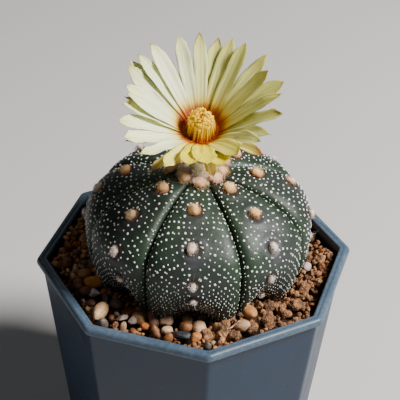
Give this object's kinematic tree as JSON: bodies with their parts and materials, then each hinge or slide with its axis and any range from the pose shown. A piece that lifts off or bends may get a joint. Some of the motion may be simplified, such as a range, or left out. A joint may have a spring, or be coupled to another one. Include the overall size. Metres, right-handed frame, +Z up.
{
  "type": "potted star cactus",
  "caption": "Ribbed star cactus globe with one open pale yellow flower, standing in grit in an octagonal plastic pot.",
  "frame": {"origin": "middle of the pot's foot, on the surface that the pot stands on", "axes": "+Z up; two of the pot's eight flats face along X and two along Y; the flower leans towards -Y"},
  "size_m": [0.11, 0.11, 0.1856],
  "materials": {
    "pot_plastic": "satin",
    "grit": "rough",
    "cactus_skin": "satin, with woolly white flecks",
    "wool": "woolly",
    "flower_green": "downy",
    "petal": "satin",
    "stamen": "matte",
    "pistil": "satin"
  },
  "bodies": {
    "root": {"pot": "pot_plastic", "soil": "grit", "cactus_body": "cactus_skin", "crown_wool": "wool", "flower_tube": "flower_green", "flower_petals": "petal", "flower_stamens": "stamen", "flower_pistil": "pistil"}
  },
  "joints": []
}
